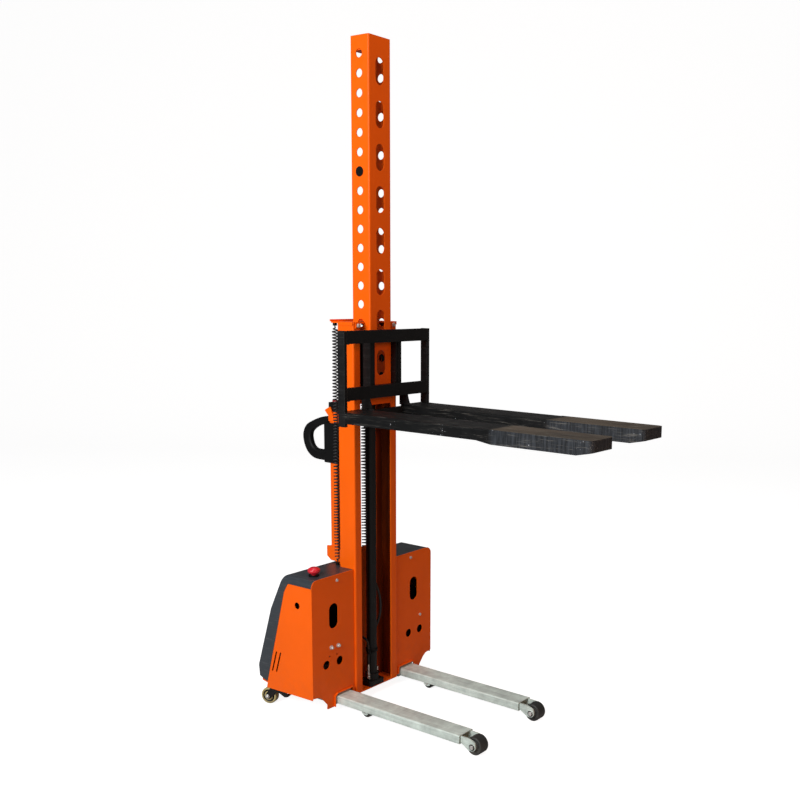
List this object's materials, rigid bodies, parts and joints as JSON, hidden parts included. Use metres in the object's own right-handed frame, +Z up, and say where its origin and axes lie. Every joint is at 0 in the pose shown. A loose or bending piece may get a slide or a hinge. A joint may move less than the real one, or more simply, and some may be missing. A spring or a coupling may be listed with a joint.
{
  "type": "self-loading stacker",
  "caption": "Self-loading pallet stacker with a telescopic punched column, fork carriage, sliding support legs, power unit boxes, D-handle and braked rear casters.",
  "frame": {"origin": "on the floor under the middle of the machine's overall footprint", "axes": "+X toward the machine's right-hand side seen from the rear handle, +Y from the fork tips toward the handle, +Z up"},
  "size_m": [0.762, 1.5954, 2.784],
  "materials": {
    "orange": "gloss powder coat",
    "black_paint": "satin",
    "cover": "satin",
    "zinc": "galvanised",
    "steel": "satin",
    "chrome": "polished",
    "black_plastic": "fine grain",
    "red_plastic": "gloss",
    "polyurethane": "satin",
    "caster_tread": "satin",
    "hose_rubber": "satin"
  },
  "bodies": {
    "chassis": {"chassis_frame": "orange", "leg_guides": "steel", "caster_mounts": "zinc", "mast_left": "orange", "mast_right": "orange", "mast_rear_panel": "orange", "mast_crosshead": "orange", "body_bolts": "zinc", "box_shell_left": "orange", "box_shell_right": "orange", "rear_cover": "cover", "battery": "black_plastic", "pump_motor": "black_paint", "pump_block": "zinc", "oil_tank": "zinc", "control_unit": "steel", "cylinder_barrel": "black_paint", "cylinder_foot": "black_paint", "cylinder_gland": "black_paint", "hydraulic_hose": "hose_rubber", "handle_post": "orange", "post_brackets": "orange", "d_handle": "black_plastic", "control_head": "black_plastic", "estop_collar": "black_plastic", "cord_glands": "black_plastic", "curly_cord_left": "hose_rubber", "curly_cord_right": "hose_rubber"},
    "lift": {"lift_column": "orange", "column_head": "orange", "column_plug": "black_plastic", "piston_rod": "chrome", "fork_carriage": "black_paint", "backrest": "black_paint", "fork_left": "black_paint", "fork_right": "black_paint", "roller_pins": "steel"},
    "roller_low_left_body": {"roller_low_left": "steel"},
    "roller_low_right_body": {"roller_low_right": "steel"},
    "roller_high_left_body": {"roller_high_left": "steel"},
    "roller_high_right_body": {"roller_high_right": "steel"},
    "load_wheel_left_body": {"load_wheel_left": "polyurethane"},
    "load_wheel_right_body": {"load_wheel_right": "polyurethane"},
    "aux_wheel_left_body": {"aux_wheel_left": "polyurethane"},
    "aux_wheel_right_body": {"aux_wheel_right": "polyurethane"},
    "caster_wheel_left_body": {"caster_wheel_left": "caster_tread"},
    "caster_wheel_right_body": {"caster_wheel_right": "caster_tread"},
    "brake_pedal_left_body": {"brake_pedal_left": "black_paint"},
    "brake_pedal_right_body": {"brake_pedal_right": "black_paint"},
    "estop_button_body": {"estop_button": "red_plastic"},
    "control_lever_body": {"control_lever": "orange"},
    "horn_button_body": {"horn_button": "red_plastic"},
    "leg_left_body": {"leg_left": "zinc", "leg_axles_left": "zinc"},
    "caster_left_body": {"caster_fork_left": "black_paint"},
    "leg_right_body": {"leg_right": "zinc", "leg_axles_right": "zinc"},
    "caster_right_body": {"caster_fork_right": "black_paint"}
  },
  "joints": [
    {"name": "mast_lift", "type": "slide", "parent": "chassis", "child": "lift", "axis": [0, 0, 1], "range_m": [-1.207, 0]},
    {"name": "roller_low_left_spin", "type": "hinge", "parent": "lift", "child": "roller_low_left_body", "pos_m": [-0.11, 0.478, 1.37], "axis": [1, 0, 0], "continuous": true},
    {"name": "roller_low_right_spin", "type": "hinge", "parent": "lift", "child": "roller_low_right_body", "pos_m": [0.11, 0.478, 1.37], "axis": [1, 0, 0], "continuous": true},
    {"name": "roller_high_left_spin", "type": "hinge", "parent": "lift", "child": "roller_high_left_body", "pos_m": [-0.11, 0.478, 1.59], "axis": [1, 0, 0], "continuous": true},
    {"name": "roller_high_right_spin", "type": "hinge", "parent": "lift", "child": "roller_high_right_body", "pos_m": [0.11, 0.478, 1.59], "axis": [1, 0, 0], "continuous": true},
    {"name": "leg_left_slide", "type": "slide", "parent": "chassis", "child": "leg_left_body", "axis": [0, 1, 0], "range_m": [0, 0.64]},
    {"name": "load_wheel_left_spin", "type": "hinge", "parent": "leg_left_body", "child": "load_wheel_left_body", "pos_m": [-0.2025, -0.282, 0.037], "axis": [1, 0, 0], "continuous": true},
    {"name": "aux_wheel_left_spin", "type": "hinge", "parent": "leg_left_body", "child": "aux_wheel_left_body", "pos_m": [-0.2025, 0.292, 0.029], "axis": [1, 0, 0], "continuous": true},
    {"name": "caster_left_swivel", "type": "hinge", "parent": "chassis", "child": "caster_left_body", "pos_m": [-0.338, 0.7, 0.08], "axis": [0, 0, 1], "continuous": true},
    {"name": "caster_wheel_left_spin", "type": "hinge", "parent": "caster_left_body", "child": "caster_wheel_left_body", "pos_m": [-0.34969, 0.73825, 0.036], "axis": [0.9563, 0.2924, 0], "continuous": true},
    {"name": "brake_pedal_left_press", "type": "hinge", "parent": "caster_left_body", "child": "brake_pedal_left_body", "pos_m": [-0.33625, 0.69426, 0.078], "axis": [0.9563, 0.2924, 0], "range_deg": [0, 14]},
    {"name": "leg_right_slide", "type": "slide", "parent": "chassis", "child": "leg_right_body", "axis": [0, 1, 0], "range_m": [0, 0.64]},
    {"name": "load_wheel_right_spin", "type": "hinge", "parent": "leg_right_body", "child": "load_wheel_right_body", "pos_m": [0.2025, -0.282, 0.037], "axis": [1, 0, 0], "continuous": true},
    {"name": "aux_wheel_right_spin", "type": "hinge", "parent": "leg_right_body", "child": "aux_wheel_right_body", "pos_m": [0.2025, 0.292, 0.029], "axis": [1, 0, 0], "continuous": true},
    {"name": "caster_right_swivel", "type": "hinge", "parent": "chassis", "child": "caster_right_body", "pos_m": [0.338, 0.7, 0.08], "axis": [0, 0, 1], "continuous": true},
    {"name": "caster_wheel_right_spin", "type": "hinge", "parent": "caster_right_body", "child": "caster_wheel_right_body", "pos_m": [0.34969, 0.73825, 0.036], "axis": [0.9563, -0.2924, 0], "continuous": true},
    {"name": "brake_pedal_right_press", "type": "hinge", "parent": "caster_right_body", "child": "brake_pedal_right_body", "pos_m": [0.33625, 0.69426, 0.078], "axis": [0.9563, -0.2924, 0], "range_deg": [0, 14]},
    {"name": "estop_press", "type": "slide", "parent": "chassis", "child": "estop_button_body", "axis": [0, 0, 1], "range_m": [-0.006, 0]},
    {"name": "lift_lever", "type": "hinge", "parent": "chassis", "child": "control_lever_body", "pos_m": [-0.1005, 0.602, 1.282], "axis": [1, 0, 0], "range_deg": [-18, 18], "stiffness_Nm_per_rad": 0.6},
    {"name": "horn_press", "type": "slide", "parent": "chassis", "child": "horn_button_body", "axis": [0, 0, 1], "range_m": [-0.003, 0], "stiffness_N_per_m": 800}
  ],
  "couplings": [
    {"joint": "roller_low_left_spin", "follows": "mast_lift", "rad_per_m": -25.316},
    {"joint": "roller_low_right_spin", "follows": "mast_lift", "rad_per_m": -25.316},
    {"joint": "roller_high_left_spin", "follows": "mast_lift", "rad_per_m": 25.316},
    {"joint": "roller_high_right_spin", "follows": "mast_lift", "rad_per_m": 25.316}
  ]
}
